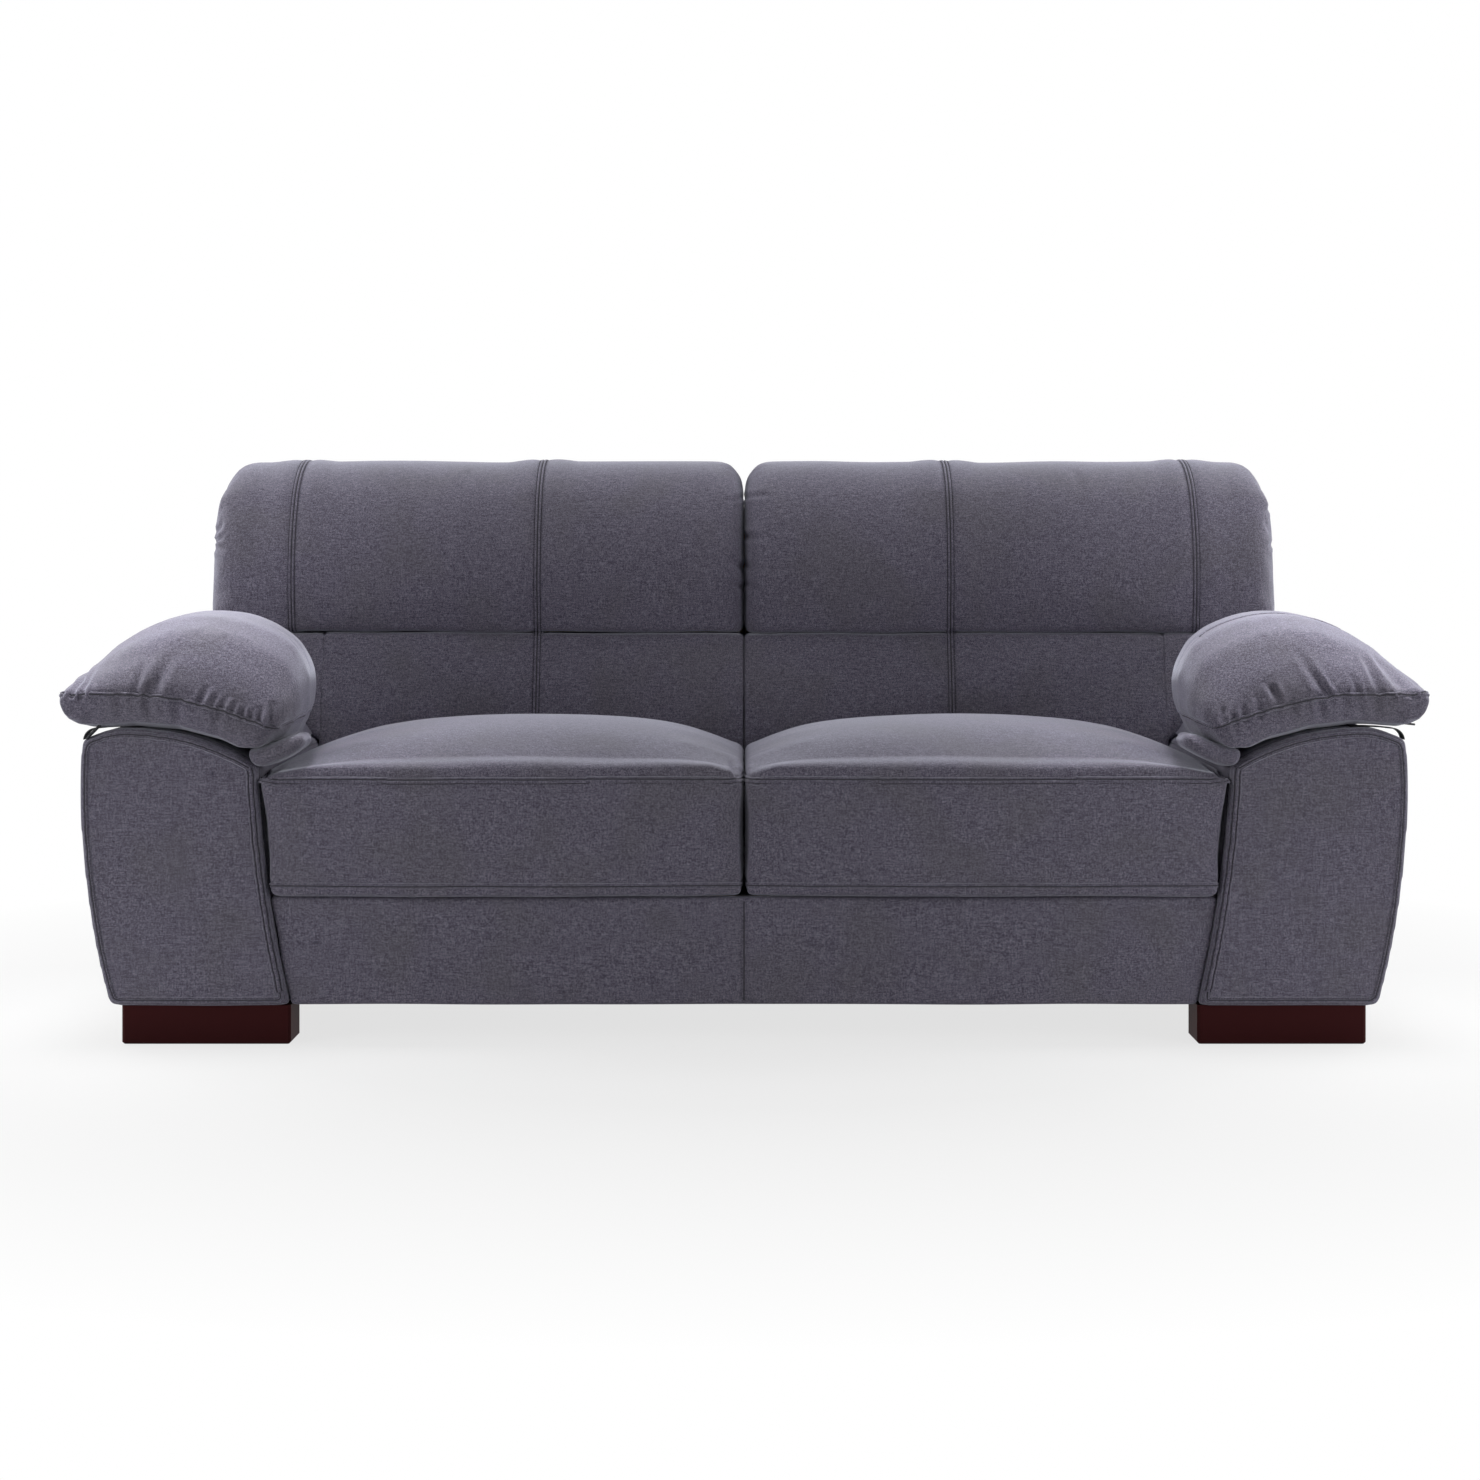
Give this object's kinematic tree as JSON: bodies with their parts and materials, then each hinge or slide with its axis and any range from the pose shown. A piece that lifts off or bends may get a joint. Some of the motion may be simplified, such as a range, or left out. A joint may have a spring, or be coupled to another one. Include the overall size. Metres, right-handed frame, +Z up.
{
  "type": "three-seater sofa",
  "caption": "Upholstered sofa with loose crowned seat cushions, pillow-topped flared arms, a seamed pillow back over lumbar pads, and low dark stained block feet",
  "frame": {"origin": "on the floor, in the middle of the sofa's outer box", "axes": "+X to the right as seen from the front, -Y towards the sitter's feet (front), +Z up"},
  "size_m": [2.0982, 0.93, 0.9359],
  "materials": {
    "woven_upholstery": "matte",
    "stained_wood": "satin",
    "frame_timber": "matte",
    "foam": "matte",
    "nylon_zip": "matte",
    "elastic_webbing": "matte",
    "spunbond_cloth": "matte",
    "zinc_steel": "satin"
  },
  "bodies": {
    "sofa_frame": {"arm_base_left": "frame_timber", "arm_base_right": "frame_timber", "arm_front_board_left": "frame_timber", "arm_front_board_right": "frame_timber", "arm_front_panel_left": "woven_upholstery", "arm_front_panel_right": "woven_upholstery", "arm_inner_wall_left": "woven_upholstery", "arm_inner_wall_right": "woven_upholstery", "arm_outer_wall_left": "woven_upholstery", "arm_outer_wall_right": "woven_upholstery", "arm_pad_left": "woven_upholstery", "arm_pad_right": "woven_upholstery", "arm_rails_left": "frame_timber", "arm_rails_right": "frame_timber", "arm_rear_board_left": "frame_timber", "arm_rear_board_right": "frame_timber", "arm_rear_panel_left": "woven_upholstery", "arm_rear_panel_right": "woven_upholstery", "arm_top_wall_left": "woven_upholstery", "arm_top_wall_right": "woven_upholstery", "back_foam_left": "foam", "back_foam_right": "foam", "back_lower_rail": "frame_timber", "back_posts": "frame_timber", "back_side_panel_left": "woven_upholstery", "back_side_panel_right": "woven_upholstery", "back_top_rail": "frame_timber", "back_webbing": "elastic_webbing", "back_wing_left": "woven_upholstery", "back_wing_right": "woven_upholstery", "centre_rail": "frame_timber", "corner_blocks": "frame_timber", "deck_cloth": "spunbond_cloth", "dust_cover": "spunbond_cloth", "foot_bolts": "zinc_steel", "foot_front_left": "stained_wood", "foot_front_right": "stained_wood", "foot_rear_left": "stained_wood", "foot_rear_right": "stained_wood", "frame_bolts": "zinc_steel", "front_border": "woven_upholstery", "front_rail": "frame_timber", "head_pillow_left": "woven_upholstery", "head_pillow_right": "woven_upholstery", "lumbar_pad_left": "woven_upholstery", "lumbar_pad_right": "woven_upholstery", "outside_back": "woven_upholstery", "pad_straps": "elastic_webbing", "rear_rail": "frame_timber", "seat_webbing": "elastic_webbing", "side_rail_left": "frame_timber", "side_rail_right": "frame_timber", "wing_posts": "frame_timber"},
    "left_seat": {"seat_core_left": "foam", "seat_cushion_left": "woven_upholstery", "seat_zip_left": "nylon_zip"},
    "right_seat": {"seat_core_right": "foam", "seat_cushion_right": "woven_upholstery", "seat_zip_right": "nylon_zip"}
  },
  "joints": [
    {"name": "left_seat_pull", "type": "slide", "parent": "sofa_frame", "child": "left_seat", "axis": [0, -1, 0], "range_m": [0, 0.6]},
    {"name": "right_seat_pull", "type": "slide", "parent": "sofa_frame", "child": "right_seat", "axis": [0, -1, 0], "range_m": [0, 0.6]}
  ]
}
